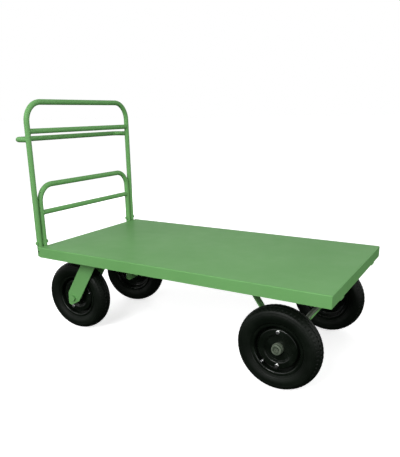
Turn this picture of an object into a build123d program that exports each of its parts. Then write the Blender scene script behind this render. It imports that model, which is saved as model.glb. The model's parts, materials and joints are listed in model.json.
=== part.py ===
from build123d import *

import math
import os

# Folding platform cart. Millimetres, +Z up, floor at Z = 0, origin under the middle of the cart.
# +X points away from the handle, "right" (-Y) and "left" (+Y) are as seen by the person who pushes.

# ---------------------------------------------------------------- driving dimensions
# Deck tray
deck_length = 1500.0
deck_width = 800.0
apron_depth = 52.0
sheet = 2.5
deck_edge_radius = 5.0
lip_width = 15.0

# Channels welded under the deck
channel_wall = 3.0
rail_width = 50.0
caster_channel_width = 160.0
channel_end_clearance = 0.5

# Tubes of the handle and the guard
frame_tube_radius = 13.45
bar_radius = 12.7
tube_wall = 2.0
handle_inset = 22.0
handle_height = 704.0
handle_bend_radius = 95.0
cross_bar_height = 568.0
push_bar_height = 529.0
push_bar_reach = 92.0
push_bar_bend_radius = 34.0
guard_height = 304.0
guard_bar_height = 168.0
guard_bend_radius = 84.0
leg_side_gap = 5.0
leg_deck_clearance = 0.4

# Fold hinge and locks
pivot_height = 17.0
pivot_bolt_radius = 6.0
pivot_head_height = 5.0
pivot_nut_height = 6.0
pivot_flats = 17.0
lock_depth = 26.0
lock_pin_radius = 5.0
lock_guide_radius = 9.0
lock_guide_length = 20.0
lock_travel = 29.5
lock_knob_radius = 10.0
lock_knob_length = 8.0
lock_end_inset = 1.4
lock_tip_chamfer = 1.0
lock_knob_fillet = 2.0

# Wheels
tyre_radius = 181.0
tyre_width = 88.0
tread_wall = 9.0
sidewall = 5.5
shoulder_inset = 7.0
bead_width = 5.0
bead_rise = 1.5
shoulder_drop = 14.0
rim_seat_radius = 101.6
rim_flange_radius = 112.0
rim_half_width = 30.0
rim_sheet = 2.5
rim_bend_radius = 3.0
rim_well_depth = 11.6
rim_dish = 20.0
rim_land_outward = 10.0
rim_land_inward = 11.0
rim_slope_width = 8.0
rim_bolt_circle_radius = 73.0
rim_bolt_count = 2
rim_bolt_radius = 4.0
rim_bolt_flats = 13.0
rim_bolt_head_height = 5.5
rim_nut_height = 6.5
inner_tube_wall = 2.0
valve_angle = 136.0
fixed_right_turn = 0.0
fixed_left_turn = 35.0
caster_right_turn = 152.0
caster_left_turn = 60.0
valve_radius = 3.6
valve_stub_radius = 4.4
valve_overhang = 6.0
valve_rim_clearance = 2.0
hub_radius = 24.0
hub_half_length = 25.0
hub_chamfer = 1.0
bearing_outer_radius = 21.0
bearing_width = 12.0
bearing_recess = 1.0
bearing_ring_wall = 3.0
bearing_seal_recess = 0.8

# Fixed axle and its brackets
axle_end_inset = 220.0
axle_side_inset = 64.0
axle_radius = 10.0
axle_shoulder_radius = 12.5
bracket_side_inset = 138.0
bracket_spread = 160.0
bracket_width = 40.0
bracket_thickness = 6.0
bracket_foot = 45.0
bracket_bend_radius = 8.0
washer_radius = 16.0
washer_thickness = 1.7
collar_radius = 21.5
collar_length = 12.0
collar_chamfer = 1.0
axle_end_recess = 1.5
axle_centre_radius = 2.5
axle_centre_depth = 3.0
collar_pin_radius = 2.5

# Casters
swivel_end_inset = 225.0
swivel_side_inset = 155.0
trail = 110.0
right_steer = 4.0
left_steer = 13.0
tyre_top_clearance = 10.0
fork_thickness = 6.0
fork_side_clearance = 8.0
fork_leg_width = 77.0
fork_tip_length = 45.0
fork_tip_half_width = 9.0
fork_shoulder_rise = 8.0
fork_bend_radius = 9.0
swivel_gap = 24.0
race_inner_radius = 18.0
race_outer_radius = 38.0
race_split = 2.0
ball_radius = 4.5
ball_circle_radius = 28.0
ball_count = 16
plate_length = 140.0
plate_width = 112.0
plate_thickness = 6.0
plate_corner_radius = 8.0
plate_bolt_spacing_x = 105.0
plate_bolt_spacing_y = 80.0
plate_bolt_radius = 5.0
plate_bolt_nut_height = 8.0
plate_bolt_head_height = 6.0
plate_bolt_flats = 16.0
kingpin_radius = 8.0
kingpin_head_height = 6.0
kingpin_nut_height = 13.0
kingpin_flats = 24.0
kingpin_access_radius = 20.0
caster_bolt_head_height = 12.0
caster_nut_height = 14.0
caster_bolt_flats = 30.0
spacer_radius = 13.0

# Clearances and fits
running_clearance = 0.05
bolt_clearance = 0.5
body_gap = 0.3
seat_clearance = 0.05
split_gap = 0.05
bead_clearance = 0.3
inner_tube_clearance = 0.4
bolt_overhang = 2.0

# ---------------------------------------------------------------- derived levels and places
crown_bottom = 2 * tyre_radius + tyre_top_clearance
crown_top = crown_bottom + fork_thickness
plate_bottom = crown_top + swivel_gap
deck_bottom = plate_bottom + plate_thickness
deck_top = deck_bottom + apron_depth
axle_height = tyre_radius

overall_length = deck_length + leg_deck_clearance + frame_tube_radius + push_bar_reach + bar_radius
deck_front = overall_length / 2
deck_back = deck_front - deck_length
deck_middle = (deck_front + deck_back) / 2

handle_x = deck_back - leg_deck_clearance - frame_tube_radius
guard_x = deck_back - frame_tube_radius
handle_y = deck_width / 2 - handle_inset
guard_y = handle_y - 2 * frame_tube_radius - leg_side_gap
handle_top = deck_top + handle_height
guard_top = deck_top + guard_height
pivot_z = deck_top + pivot_height
lock_z = deck_top - lock_depth

swivel_x = deck_back + swivel_end_inset
swivel_y = deck_width / 2 - swivel_side_inset
axle_x = deck_front - axle_end_inset
fixed_wheel_y = deck_width / 2 - axle_side_inset
bracket_y = deck_width / 2 - bracket_side_inset
tyre_half_width = tyre_width / 2
bearing_face = hub_half_length - bearing_recess
fork_inner = tyre_half_width + fork_side_clearance
fork_outer = fork_inner + fork_thickness

os.makedirs("parts", exist_ok=True)


def save(builder, name):
    """Label a finished piece and write it as its own STEP file."""
    builder.part.label = name
    export_step(builder.part, "parts/" + name + ".step")


def hexagon(across_flats):
    """Add a regular hexagon of the given width across flats to the open sketch."""
    RegularPolygon(across_flats / 2, 6, major_radius=False)


# ---------------------------------------------------------------- deck and channels
with BuildPart() as deck_tray:
    with BuildSketch(Plane.XY.offset(deck_bottom)):
        with Locations((deck_middle, 0)):
            Rectangle(deck_length, deck_width)
    extrude(amount=apron_depth)
    outer_edges = deck_tray.edges().group_by(Axis.Z)[-1] + deck_tray.edges().filter_by(Axis.Z)
    fillet(outer_edges, deck_edge_radius)
    with BuildSketch(Plane.XY.offset(deck_bottom + sheet)):
        with Locations((deck_middle, 0)):
            Rectangle(deck_length - 2 * sheet, deck_width - 2 * sheet)
            fillet(vertices(), deck_edge_radius - sheet)
    extrude(amount=apron_depth - 2 * sheet, mode=Mode.SUBTRACT)
    with BuildSketch(Plane.XY.offset(deck_bottom)):
        with Locations((deck_middle, 0)):
            Rectangle(deck_length - 2 * (sheet + lip_width), deck_width - 2 * (sheet + lip_width))
    extrude(amount=sheet, mode=Mode.SUBTRACT)
save(deck_tray, "deck_tray")

channel_depth = apron_depth - sheet
lip_reach = sheet + lip_width + channel_end_clearance
rail_start = swivel_x + caster_channel_width / 2 + channel_end_clearance
rail_end = deck_front - lip_reach
for side, side_name in ((-1, "right"), (1, "left")):
    with BuildPart() as deck_rail:
        with BuildSketch(Plane.YZ.offset(rail_start)):
            with Locations((side * bracket_y, deck_bottom + channel_depth / 2)):
                Rectangle(rail_width, channel_depth)
            with Locations((side * bracket_y, deck_bottom + channel_wall + channel_depth / 2)):
                Rectangle(rail_width - 2 * channel_wall, channel_depth, mode=Mode.SUBTRACT)
        extrude(amount=rail_end - rail_start)
    save(deck_rail, "deck_rail_" + side_name)

with BuildPart() as caster_channel:
    with BuildSketch(Plane.XZ):
        with Locations((swivel_x, deck_bottom + channel_depth / 2)):
            Rectangle(caster_channel_width, channel_depth)
        with Locations((swivel_x, deck_bottom + channel_wall + channel_depth / 2)):
            Rectangle(caster_channel_width - 2 * channel_wall, channel_depth, mode=Mode.SUBTRACT)
    extrude(amount=deck_width / 2 - lip_reach, both=True)
    with BuildSketch(Plane.XY.offset(deck_bottom)):
        with Locations((swivel_x, -swivel_y), (swivel_x, swivel_y)):
            Circle(kingpin_access_radius)
            with GridLocations(plate_bolt_spacing_x, plate_bolt_spacing_y, 2, 2):
                Circle(plate_bolt_radius + bolt_clearance)
    extrude(amount=channel_wall, mode=Mode.SUBTRACT)
save(caster_channel, "caster_channel")


# ---------------------------------------------------------------- handle and guard tubes
def tube_ring(radius):
    """Add the tube's wall section to the open sketch."""
    Circle(radius)
    Circle(radius - tube_wall, mode=Mode.SUBTRACT)


def make_hoop(x, half_width, top, bend_radius, name):
    """Upright inverted U of frame tube in the plane at x, drilled across for the pivot and the lock."""
    with BuildPart() as hoop:
        with BuildLine(Plane.YZ.offset(x)) as path:
            FilletPolyline(
                (-half_width, deck_bottom),
                (-half_width, top),
                (half_width, top),
                (half_width, deck_bottom),
                radius=bend_radius,
            )
        with BuildSketch(Plane.XY.offset(deck_bottom)):
            with Locations((x, -half_width)):
                tube_ring(frame_tube_radius)
        sweep(path=path.line)
        with BuildSketch(Plane.XZ):
            with Locations((handle_x, pivot_z)):
                Circle(pivot_bolt_radius + running_clearance)
            with Locations((handle_x, lock_z)):
                Circle(lock_pin_radius + running_clearance)
        extrude(amount=deck_width, both=True, mode=Mode.SUBTRACT)
    save(hoop, name)


def make_cross_bar(x, half_width, z, name):
    """Straight bar between the two uprights of a hoop, its ends coped to them."""
    with BuildPart() as cross_bar:
        with BuildSketch(Plane.XZ):
            with Locations((x, z)):
                tube_ring(bar_radius)
        extrude(amount=half_width, both=True)
        with BuildSketch(Plane.XY.offset(z - 2 * bar_radius)):
            with Locations((x, -half_width), (x, half_width)):
                Circle(frame_tube_radius)
        extrude(amount=4 * bar_radius, mode=Mode.SUBTRACT)
    save(cross_bar, name)


make_hoop(guard_x, guard_y, guard_top, guard_bend_radius, "guard_tube")
make_cross_bar(guard_x, guard_y, deck_top + guard_bar_height, "guard_cross_bar")
make_hoop(handle_x, handle_y, handle_top, handle_bend_radius, "handle_tube")
make_cross_bar(handle_x, handle_y, deck_top + cross_bar_height, "handle_cross_bar")

push_bar_z = deck_top + push_bar_height
push_bar_x = handle_x - push_bar_reach
with BuildPart() as push_bar:
    with BuildLine(Plane.XY.offset(push_bar_z)) as push_path:
        FilletPolyline(
            (handle_x, -handle_y),
            (push_bar_x, -handle_y),
            (push_bar_x, handle_y),
            (handle_x, handle_y),
            radius=push_bar_bend_radius,
        )
    with BuildSketch(Plane.YZ.offset(handle_x)):
        with Locations((-handle_y, push_bar_z)):
            tube_ring(bar_radius)
    sweep(path=push_path.line)
    with BuildSketch(Plane.XY.offset(push_bar_z - 2 * bar_radius)):
        with Locations((handle_x, -handle_y), (handle_x, handle_y)):
            Circle(frame_tube_radius)
    extrude(amount=4 * bar_radius, mode=Mode.SUBTRACT)
save(push_bar, "push_bar")


# ---------------------------------------------------------------- fold pivots and locks
leg_outside = handle_y + frame_tube_radius
leg_inside = guard_y - frame_tube_radius

with BuildPart() as pivot_bolts:
    for side in (-1, 1):
        out = Vector(0, side, 0)
        head_plane = Plane(Vector(handle_x, side * (leg_outside + body_gap), pivot_z), z_dir=out)
        with BuildSketch(head_plane):
            hexagon(pivot_flats)
        extrude(amount=pivot_head_height)
        with BuildSketch(head_plane):
            Circle(pivot_bolt_radius)
        shank_end = leg_inside - pivot_nut_height - bolt_overhang
        extrude(amount=shank_end - leg_outside - body_gap)
        with BuildSketch(Plane(Vector(handle_x, side * leg_inside, pivot_z), z_dir=-out)):
            hexagon(pivot_flats)
            Circle(pivot_bolt_radius + seat_clearance, mode=Mode.SUBTRACT)
        extrude(amount=pivot_nut_height)
save(pivot_bolts, "pivot_bolts")

with BuildPart() as pivot_spacers:
    for side in (-1, 1):
        face = Vector(handle_x, side * (guard_y + frame_tube_radius), pivot_z)
        with BuildSketch(Plane(face, z_dir=(0, side, 0))):
            Circle(frame_tube_radius - tube_wall)
            Circle(pivot_bolt_radius + seat_clearance, mode=Mode.SUBTRACT)
        extrude(amount=leg_side_gap - body_gap)
save(pivot_spacers, "pivot_spacers")

with BuildPart() as lock_guides:
    for side in (-1, 1):
        with BuildSketch(Plane(Vector(handle_x, side * leg_inside, lock_z), z_dir=(0, -side, 0))):
            Circle(lock_guide_radius)
            Circle(lock_pin_radius + running_clearance, mode=Mode.SUBTRACT)
        extrude(amount=lock_guide_length)
save(lock_guides, "lock_guides")

lock_tip = guard_y + frame_tube_radius - lock_end_inset
knob_start = leg_inside - lock_guide_length - lock_travel - body_gap
for side, side_name in ((-1, "right"), (1, "left")):
    with BuildPart() as lock_pin:
        with BuildSketch(Plane(Vector(handle_x, side * lock_tip, lock_z), z_dir=(0, -side, 0))):
            Circle(lock_pin_radius)
        extrude(amount=lock_tip - knob_start)
        chamfer(lock_pin.edges().sort_by(Axis.Y)[0 if side < 0 else -1], lock_tip_chamfer)
        with BuildSketch(Plane(Vector(handle_x, side * knob_start, lock_z), z_dir=(0, -side, 0))):
            Circle(lock_knob_radius)
        extrude(amount=lock_knob_length)
        fillet(lock_pin.edges().sort_by(Axis.Y)[-1 if side < 0 else 0], lock_knob_fillet)
    save(lock_pin, "lock_pin_" + side_name)


# ---------------------------------------------------------------- fixed axle
shoulder_y = fixed_wheel_y - bearing_face - body_gap
washer_y = fixed_wheel_y + bearing_face + body_gap
collar_y = washer_y + washer_thickness
axle_end_y = collar_y + collar_length - axle_end_recess
bracket_inner_radius = axle_shoulder_radius + seat_clearance

with BuildPart() as axle_bar:
    with BuildSketch(Plane.XZ):
        with Locations((axle_x, axle_height)):
            Circle(axle_shoulder_radius)
    extrude(amount=shoulder_y, both=True)
    with BuildSketch(Plane.XZ):
        with Locations((axle_x, axle_height)):
            Circle(axle_radius)
    extrude(amount=axle_end_y, both=True)
    cross_pin_y = collar_y + collar_length / 2
    with BuildSketch(Plane.XY.offset(axle_height)):
        with Locations((axle_x, -cross_pin_y), (axle_x, cross_pin_y)):
            Circle(collar_pin_radius + seat_clearance)
    extrude(amount=collar_radius, both=True, mode=Mode.SUBTRACT)
    for side in (-1, 1):
        with BuildSketch(Plane(Vector(axle_x, side * axle_end_y, axle_height), z_dir=(0, -side, 0))):
            Circle(axle_centre_radius)
        extrude(amount=axle_centre_depth, mode=Mode.SUBTRACT)
save(axle_bar, "axle_bar")

with BuildPart() as axle_washers:
    for side in (-1, 1):
        with BuildSketch(Plane(Vector(axle_x, side * washer_y, axle_height), z_dir=(0, side, 0))):
            Circle(washer_radius)
            Circle(axle_radius + seat_clearance, mode=Mode.SUBTRACT)
        extrude(amount=washer_thickness)
save(axle_washers, "axle_washers")

with BuildPart() as axle_collars:
    for side in (-1, 1):
        with BuildSketch(Plane(Vector(axle_x, side * collar_y, axle_height), z_dir=(0, side, 0))):
            Circle(collar_radius)
            Circle(axle_radius + seat_clearance, mode=Mode.SUBTRACT)
        extrude(amount=collar_length)
    chamfer(axle_collars.edges().filter_by(GeomType.CIRCLE).group_by(SortBy.RADIUS)[-1], collar_chamfer)
    with BuildSketch(Plane.XY.offset(axle_height)):
        with Locations((axle_x, -cross_pin_y), (axle_x, cross_pin_y)):
            Circle(collar_pin_radius + seat_clearance)
    extrude(amount=2 * collar_radius, both=True, mode=Mode.SUBTRACT)
save(axle_collars, "axle_collars")

with BuildPart() as collar_pins:
    with BuildSketch(Plane.XY.offset(axle_height)):
        with Locations((axle_x, -cross_pin_y), (axle_x, cross_pin_y)):
            Circle(collar_pin_radius)
    extrude(amount=collar_radius, both=True)
save(collar_pins, "collar_pins")

# The strap runs down from its foot, under the axle and up to its other foot.
strut_lean = math.atan2(bracket_spread, deck_bottom - axle_height)
strap_point = axle_height - bracket_inner_radius / math.sin(strut_lean)
strap_reach = (deck_bottom - strap_point) * math.tan(strut_lean)
for side, side_name in ((-1, "right"), (1, "left")):
    with BuildPart() as axle_bracket:
        with BuildSketch(Plane.XZ.offset(-side * bracket_y)):
            with BuildLine():
                FilletPolyline(
                    (axle_x - strap_reach - bracket_foot, deck_bottom),
                    (axle_x - strap_reach, deck_bottom),
                    (axle_x, strap_point),
                    (axle_x + strap_reach, deck_bottom),
                    (axle_x + strap_reach + bracket_foot, deck_bottom),
                    radius=(bracket_bend_radius, bracket_inner_radius, bracket_bend_radius),
                )
                offset(amount=bracket_thickness, side=Side.RIGHT)
            make_face()
        extrude(amount=bracket_width / 2, both=True)
    save(axle_bracket, "axle_bracket_" + side_name)


# ---------------------------------------------------------------- wheels
def section_plane(centre, out):
    """Plane through a wheel's axis: x runs outboard along the axle, y is the radius, upwards."""
    return Plane(centre, x_dir=out, z_dir=out.cross(Vector(0, 0, 1)))


def face_plane(centre, out, distance):
    """Plane across a wheel's axis, a distance outboard of its middle, with x upwards."""
    return Plane(centre + out * distance, x_dir=Vector(0, 0, 1), z_dir=out)


def radius_direction(out, angle):
    """Unit vector in the wheel's plane, turned by an angle from straight up."""
    turn = math.radians(angle)
    return Vector(0, 0, 1) * math.cos(turn) + out.cross(Vector(0, 0, 1)) * math.sin(turn)


bead_half_width = rim_half_width - bead_clearance
bead_toe = bead_half_width - bead_width
bead_radius = rim_seat_radius + bead_clearance
bead_top_radius = rim_flange_radius + bead_rise
bulge_radius = (rim_flange_radius + tyre_radius - shoulder_drop) / 2
shoulder_half_width = tyre_half_width - shoulder_inset
shoulder_radius = tyre_radius - shoulder_drop
seat_root = rim_seat_radius - rim_well_depth
dish_outer = rim_bolt_circle_radius + rim_land_outward
dish_inner = rim_bolt_circle_radius - rim_land_inward
dish_floor = rim_dish / 2
dish_floor_radius = dish_inner - rim_slope_width


def make_tyre(centre, out, name):
    """Hollow tyre with rounded crown, full sidewalls and beads on the rim seats."""
    with BuildPart() as tyre:
        with BuildSketch(section_plane(centre, out)) as section:
            with BuildLine():
                Line((bead_toe, bead_radius), (bead_half_width, bead_radius))
                Line((bead_half_width, bead_radius), (bead_half_width, rim_flange_radius))
                ThreePointArc(
                    (bead_half_width, rim_flange_radius),
                    (tyre_half_width, bulge_radius),
                    (shoulder_half_width, shoulder_radius),
                )
                ThreePointArc(
                    (shoulder_half_width, shoulder_radius),
                    (0, tyre_radius),
                    (-shoulder_half_width, shoulder_radius),
                )
                ThreePointArc(
                    (-shoulder_half_width, shoulder_radius),
                    (-tyre_half_width, bulge_radius),
                    (-bead_half_width, rim_flange_radius),
                )
                Line((-bead_half_width, rim_flange_radius), (-bead_half_width, bead_radius))
                Line((-bead_half_width, bead_radius), (-bead_toe, bead_radius))
                Line((-bead_toe, bead_radius), (-bead_toe, bead_top_radius))
                ThreePointArc(
                    (-bead_toe, bead_top_radius),
                    (sidewall - tyre_half_width, bulge_radius),
                    (sidewall - shoulder_half_width, shoulder_radius - sidewall),
                )
                ThreePointArc(
                    (sidewall - shoulder_half_width, shoulder_radius - sidewall),
                    (0, tyre_radius - tread_wall),
                    (shoulder_half_width - sidewall, shoulder_radius - sidewall),
                )
                ThreePointArc(
                    (shoulder_half_width - sidewall, shoulder_radius - sidewall),
                    (tyre_half_width - sidewall, bulge_radius),
                    (bead_toe, bead_top_radius),
                )
                Line((bead_toe, bead_top_radius), (bead_toe, bead_radius))
            make_face()
            lowest = section.vertices().group_by(Axis.Y)[0].sort_by(Axis.X)
            fillet([lowest[0], lowest[-1]], rim_bend_radius)
        revolve(axis=Axis(centre, out))
    save(tyre, name)


def make_inner_tube(centre, out, turn, name):
    """Thin air tube inside the tyre, with its valve stem bent to point outboard."""
    gap = inner_tube_clearance
    tube_toe = bead_toe - gap
    tube_half_width = tyre_half_width - sidewall - gap
    tube_shoulder = shoulder_half_width - sidewall - gap
    stem_place = rim_half_width / 2
    stem_end = rim_half_width + valve_overhang
    elbow_radius = rim_seat_radius - rim_sheet - valve_rim_clearance - valve_radius
    radial = radius_direction(out, turn + valve_angle)
    with BuildPart() as inner_tube:
        with BuildSketch(section_plane(centre, out)):
            with BuildLine():
                Line((-tube_toe, bead_radius + gap), (tube_toe, bead_radius + gap))
                Line((tube_toe, bead_radius + gap), (tube_toe, bead_top_radius))
                ThreePointArc(
                    (tube_toe, bead_top_radius),
                    (tube_half_width, bulge_radius),
                    (tube_shoulder, shoulder_radius - sidewall - gap),
                )
                ThreePointArc(
                    (tube_shoulder, shoulder_radius - sidewall - gap),
                    (0, tyre_radius - tread_wall - gap),
                    (-tube_shoulder, shoulder_radius - sidewall - gap),
                )
                ThreePointArc(
                    (-tube_shoulder, shoulder_radius - sidewall - gap),
                    (-tube_half_width, bulge_radius),
                    (-tube_toe, bead_top_radius),
                )
                Line((-tube_toe, bead_top_radius), (-tube_toe, bead_radius + gap))
            make_face()
            offset(amount=-inner_tube_wall, mode=Mode.SUBTRACT)
        revolve(axis=Axis(centre, out))
        stub_start = elbow_radius - valve_stub_radius
        with BuildSketch(Plane(centre + out * stem_place + radial * stub_start, z_dir=radial)):
            Circle(valve_stub_radius)
        extrude(amount=bead_radius + gap + inner_tube_wall / 2 - stub_start)
        with BuildSketch(Plane(centre + out * stem_place + radial * elbow_radius, z_dir=out)):
            Circle(valve_radius)
        extrude(amount=stem_end - stem_place)
    save(inner_tube, name)


def make_rim_half(centre, out, turn, name, outer):
    """One pressed half of the rim; the two halves nest in the dish and share its line."""
    flange_side = 1 if outer else -1
    line_place = split_gap if outer else -split_gap
    with BuildPart() as rim_half:
        with BuildSketch(section_plane(centre, out)):
            with BuildLine():
                FilletPolyline(
                    (flange_side * rim_half_width, rim_flange_radius),
                    (flange_side * rim_half_width, rim_seat_radius),
                    (line_place, rim_seat_radius),
                    (line_place, seat_root),
                    (line_place + rim_dish, dish_outer),
                    (line_place + rim_dish, dish_inner),
                    (line_place + dish_floor, dish_floor_radius),
                    (line_place + dish_floor, hub_radius + seat_clearance),
                    radius=rim_bend_radius,
                )
                offset(amount=rim_sheet, side=Side.LEFT if outer else Side.RIGHT)
            make_face()
        revolve(axis=Axis(centre, out))
        with BuildSketch(face_plane(centre, out, 0)):
            with PolarLocations(rim_bolt_circle_radius, rim_bolt_count, turn):
                Circle(rim_bolt_radius + bolt_clearance)
        extrude(amount=2 * rim_dish, mode=Mode.SUBTRACT)
        if outer:
            radial = radius_direction(out, turn + valve_angle)
            with BuildSketch(Plane(centre + out * (rim_half_width / 2) + radial * seat_root, z_dir=radial)):
                Circle(valve_stub_radius + bolt_clearance)
            extrude(amount=2 * (rim_seat_radius - seat_root), mode=Mode.SUBTRACT)
    save(rim_half, name)


def make_hub(centre, out, name):
    """Hub tube with a bearing seat at each end and a shoulder between them."""
    with BuildPart() as hub:
        with BuildSketch(face_plane(centre, out, 0)):
            Circle(hub_radius)
            Circle(bearing_outer_radius - bearing_ring_wall, mode=Mode.SUBTRACT)
        extrude(amount=hub_half_length, both=True)
        for end in (-1, 1):
            with BuildSketch(face_plane(centre, out, end * (bearing_face - bearing_width))):
                Circle(bearing_outer_radius + running_clearance)
            extrude(amount=end * (bearing_width + bearing_recess), mode=Mode.SUBTRACT)
        chamfer(hub.edges().filter_by(GeomType.CIRCLE).group_by(SortBy.RADIUS)[-1], hub_chamfer)
    save(hub, name)


def make_bearings(centre, out, name):
    """Two sealed ball bearings, each as one ring, that run on the axle."""
    with BuildPart() as bearings:
        for end in (-1, 1):
            with BuildSketch(face_plane(centre, out, end * (bearing_face - bearing_width))):
                Circle(bearing_outer_radius)
                Circle(axle_radius + running_clearance, mode=Mode.SUBTRACT)
            extrude(amount=end * bearing_width)
            with BuildSketch(face_plane(centre, out, end * bearing_face)):
                Circle(bearing_outer_radius - bearing_ring_wall)
                Circle(axle_radius + bearing_ring_wall, mode=Mode.SUBTRACT)
            extrude(amount=-end * bearing_seal_recess, mode=Mode.SUBTRACT)
    save(bearings, name)


def make_rim_bolts(centre, out, turn, name):
    """Bolts and nuts that clamp the rim halves together."""
    stack_outer = split_gap + rim_dish + rim_sheet
    stack_inner = -split_gap + rim_dish - rim_sheet
    with BuildPart() as rim_bolts:
        with BuildSketch(face_plane(centre, out, stack_outer)):
            with PolarLocations(rim_bolt_circle_radius, rim_bolt_count, turn):
                hexagon(rim_bolt_flats)
        extrude(amount=rim_bolt_head_height)
        with BuildSketch(face_plane(centre, out, stack_outer)):
            with PolarLocations(rim_bolt_circle_radius, rim_bolt_count, turn):
                Circle(rim_bolt_radius)
        extrude(amount=stack_inner - rim_nut_height - bolt_overhang - stack_outer)
        with BuildSketch(face_plane(centre, out, stack_inner)):
            with PolarLocations(rim_bolt_circle_radius, rim_bolt_count, turn):
                hexagon(rim_bolt_flats)
                Circle(rim_bolt_radius + seat_clearance, mode=Mode.SUBTRACT)
        extrude(amount=-rim_nut_height)
    save(rim_bolts, name)


def make_wheel(centre, out, turn, wheel_name):
    """Write every piece of one wheel, turned on its axle so that a rim bolt is at that angle."""
    make_tyre(centre, out, wheel_name + "_tyre")
    make_inner_tube(centre, out, turn, wheel_name + "_inner_tube")
    make_rim_half(centre, out, turn, wheel_name + "_rim_outer", True)
    make_rim_half(centre, out, turn, wheel_name + "_rim_inner", False)
    make_hub(centre, out, wheel_name + "_hub")
    make_bearings(centre, out, wheel_name + "_bearings")
    make_rim_bolts(centre, out, turn, wheel_name + "_rim_bolts")


for side, side_name, wheel_turn in ((-1, "right", fixed_right_turn), (1, "left", fixed_left_turn)):
    wheel_centre = Vector(axle_x, side * fixed_wheel_y, axle_height)
    make_wheel(wheel_centre, Vector(0, side, 0), wheel_turn, "fixed_" + side_name)


# ---------------------------------------------------------------- casters
def upright_plane(base, y):
    """Vertical plane along a caster's own x, at its own y; sketch y is height."""
    return Plane(base.from_local_coords(Vector(0, y, 0)), x_dir=base.x_dir, z_dir=-base.y_dir)


def race(base, level, height, groove_radius):
    """Add a bearing race to the open part: a ring with a ball groove cut into it."""
    upwards = (Align.CENTER, Align.CENTER, Align.MIN)
    with Locations(base.offset(level)):
        Cylinder(race_outer_radius, height, align=upwards)
        Cylinder(race_inner_radius, height, align=upwards, mode=Mode.SUBTRACT)
    with Locations(base.offset(ball_level)):
        Torus(ball_circle_radius, groove_radius, mode=Mode.SUBTRACT)


ball_level = (crown_top + plate_bottom) / 2
lower_race_height = ball_level - race_split / 2 - crown_top
fork_knee = crown_bottom - fork_bend_radius
fork_lean = math.atan2(trail, fork_knee - axle_height)
down = Vector(-math.sin(fork_lean), -math.cos(fork_lean))
across = Vector(math.cos(fork_lean), -math.sin(fork_lean))
leg_slant = fork_leg_width / 2 / math.cos(fork_lean)


def leg_point(along, sideways):
    """Point of a fork leg's outline, from the axle: along the leg, and across it."""
    return Vector(-trail, axle_height) + down * along + across * sideways


def make_fork(base, name):
    """Strap fork: crown, two leaning legs with pointed ends, and the lower ball race."""
    with BuildPart() as fork:
        with BuildSketch(base.offset(crown_bottom)):
            Rectangle(2 * leg_slant, 2 * fork_outer)
        extrude(amount=fork_thickness)
        for y in (-fork_inner, fork_outer):
            with BuildSketch(upright_plane(base, y)):
                with BuildLine():
                    Polyline(
                        (-leg_slant, crown_top),
                        (leg_slant, crown_top),
                        (leg_slant, fork_knee),
                        leg_point(-fork_shoulder_rise, fork_leg_width / 2),
                        leg_point(fork_tip_length, fork_tip_half_width),
                        leg_point(fork_tip_length, -fork_tip_half_width),
                        leg_point(-fork_shoulder_rise, -fork_leg_width / 2),
                        (-leg_slant, fork_knee),
                        close=True,
                    )
                make_face()
                with Locations((-trail, axle_height)):
                    Circle(axle_radius + seat_clearance, mode=Mode.SUBTRACT)
            extrude(amount=fork_thickness)
        top_edges = fork.edges().filter_by(Axis(base.origin, base.x_dir)).group_by(Axis.Z)[-1]
        fillet(top_edges, fork_bend_radius)
        race(base, crown_top, lower_race_height, ball_radius + seat_clearance)
        with BuildSketch(base.offset(crown_bottom)):
            Circle(kingpin_radius + running_clearance)
        extrude(amount=fork_thickness, mode=Mode.SUBTRACT)
    save(fork, name)


def make_caster_plate(base, level_base, name):
    """Top plate, square to the deck, with the upper ball race under it."""
    with BuildPart() as caster_plate:
        with BuildSketch(level_base.offset(plate_bottom)):
            RectangleRounded(plate_length, plate_width, plate_corner_radius)
            Circle(kingpin_radius + seat_clearance, mode=Mode.SUBTRACT)
            with GridLocations(plate_bolt_spacing_x, plate_bolt_spacing_y, 2, 2):
                Circle(plate_bolt_radius + bolt_clearance, mode=Mode.SUBTRACT)
        extrude(amount=plate_thickness)
        upper_level = ball_level + race_split / 2
        race(base, upper_level, plate_bottom - upper_level, ball_radius + body_gap)
    save(caster_plate, name)


def make_balls(base, name):
    """Ring of balls that lies in the lower race."""
    with BuildPart() as balls:
        with Locations(base.offset(ball_level)):
            with PolarLocations(ball_circle_radius, ball_count):
                Sphere(ball_radius)
    save(balls, name)


def make_kingpin(level_base, name):
    """Kingpin bolt through crown and plate, with its nut in the channel."""
    head_top = crown_bottom - body_gap
    nut_bottom = plate_bottom + plate_thickness
    pin_top = nut_bottom + kingpin_nut_height + bolt_overhang
    with BuildPart() as kingpin:
        with BuildSketch(level_base.offset(head_top - kingpin_head_height)):
            Circle(kingpin_flats / 2)
        extrude(amount=kingpin_head_height)
        with BuildSketch(level_base.offset(head_top - kingpin_head_height)):
            Circle(kingpin_radius)
        extrude(amount=pin_top - head_top + kingpin_head_height)
        with BuildSketch(level_base.offset(nut_bottom)):
            hexagon(kingpin_flats)
            Circle(kingpin_radius + seat_clearance, mode=Mode.SUBTRACT)
        extrude(amount=kingpin_nut_height)
    save(kingpin, name)


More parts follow.
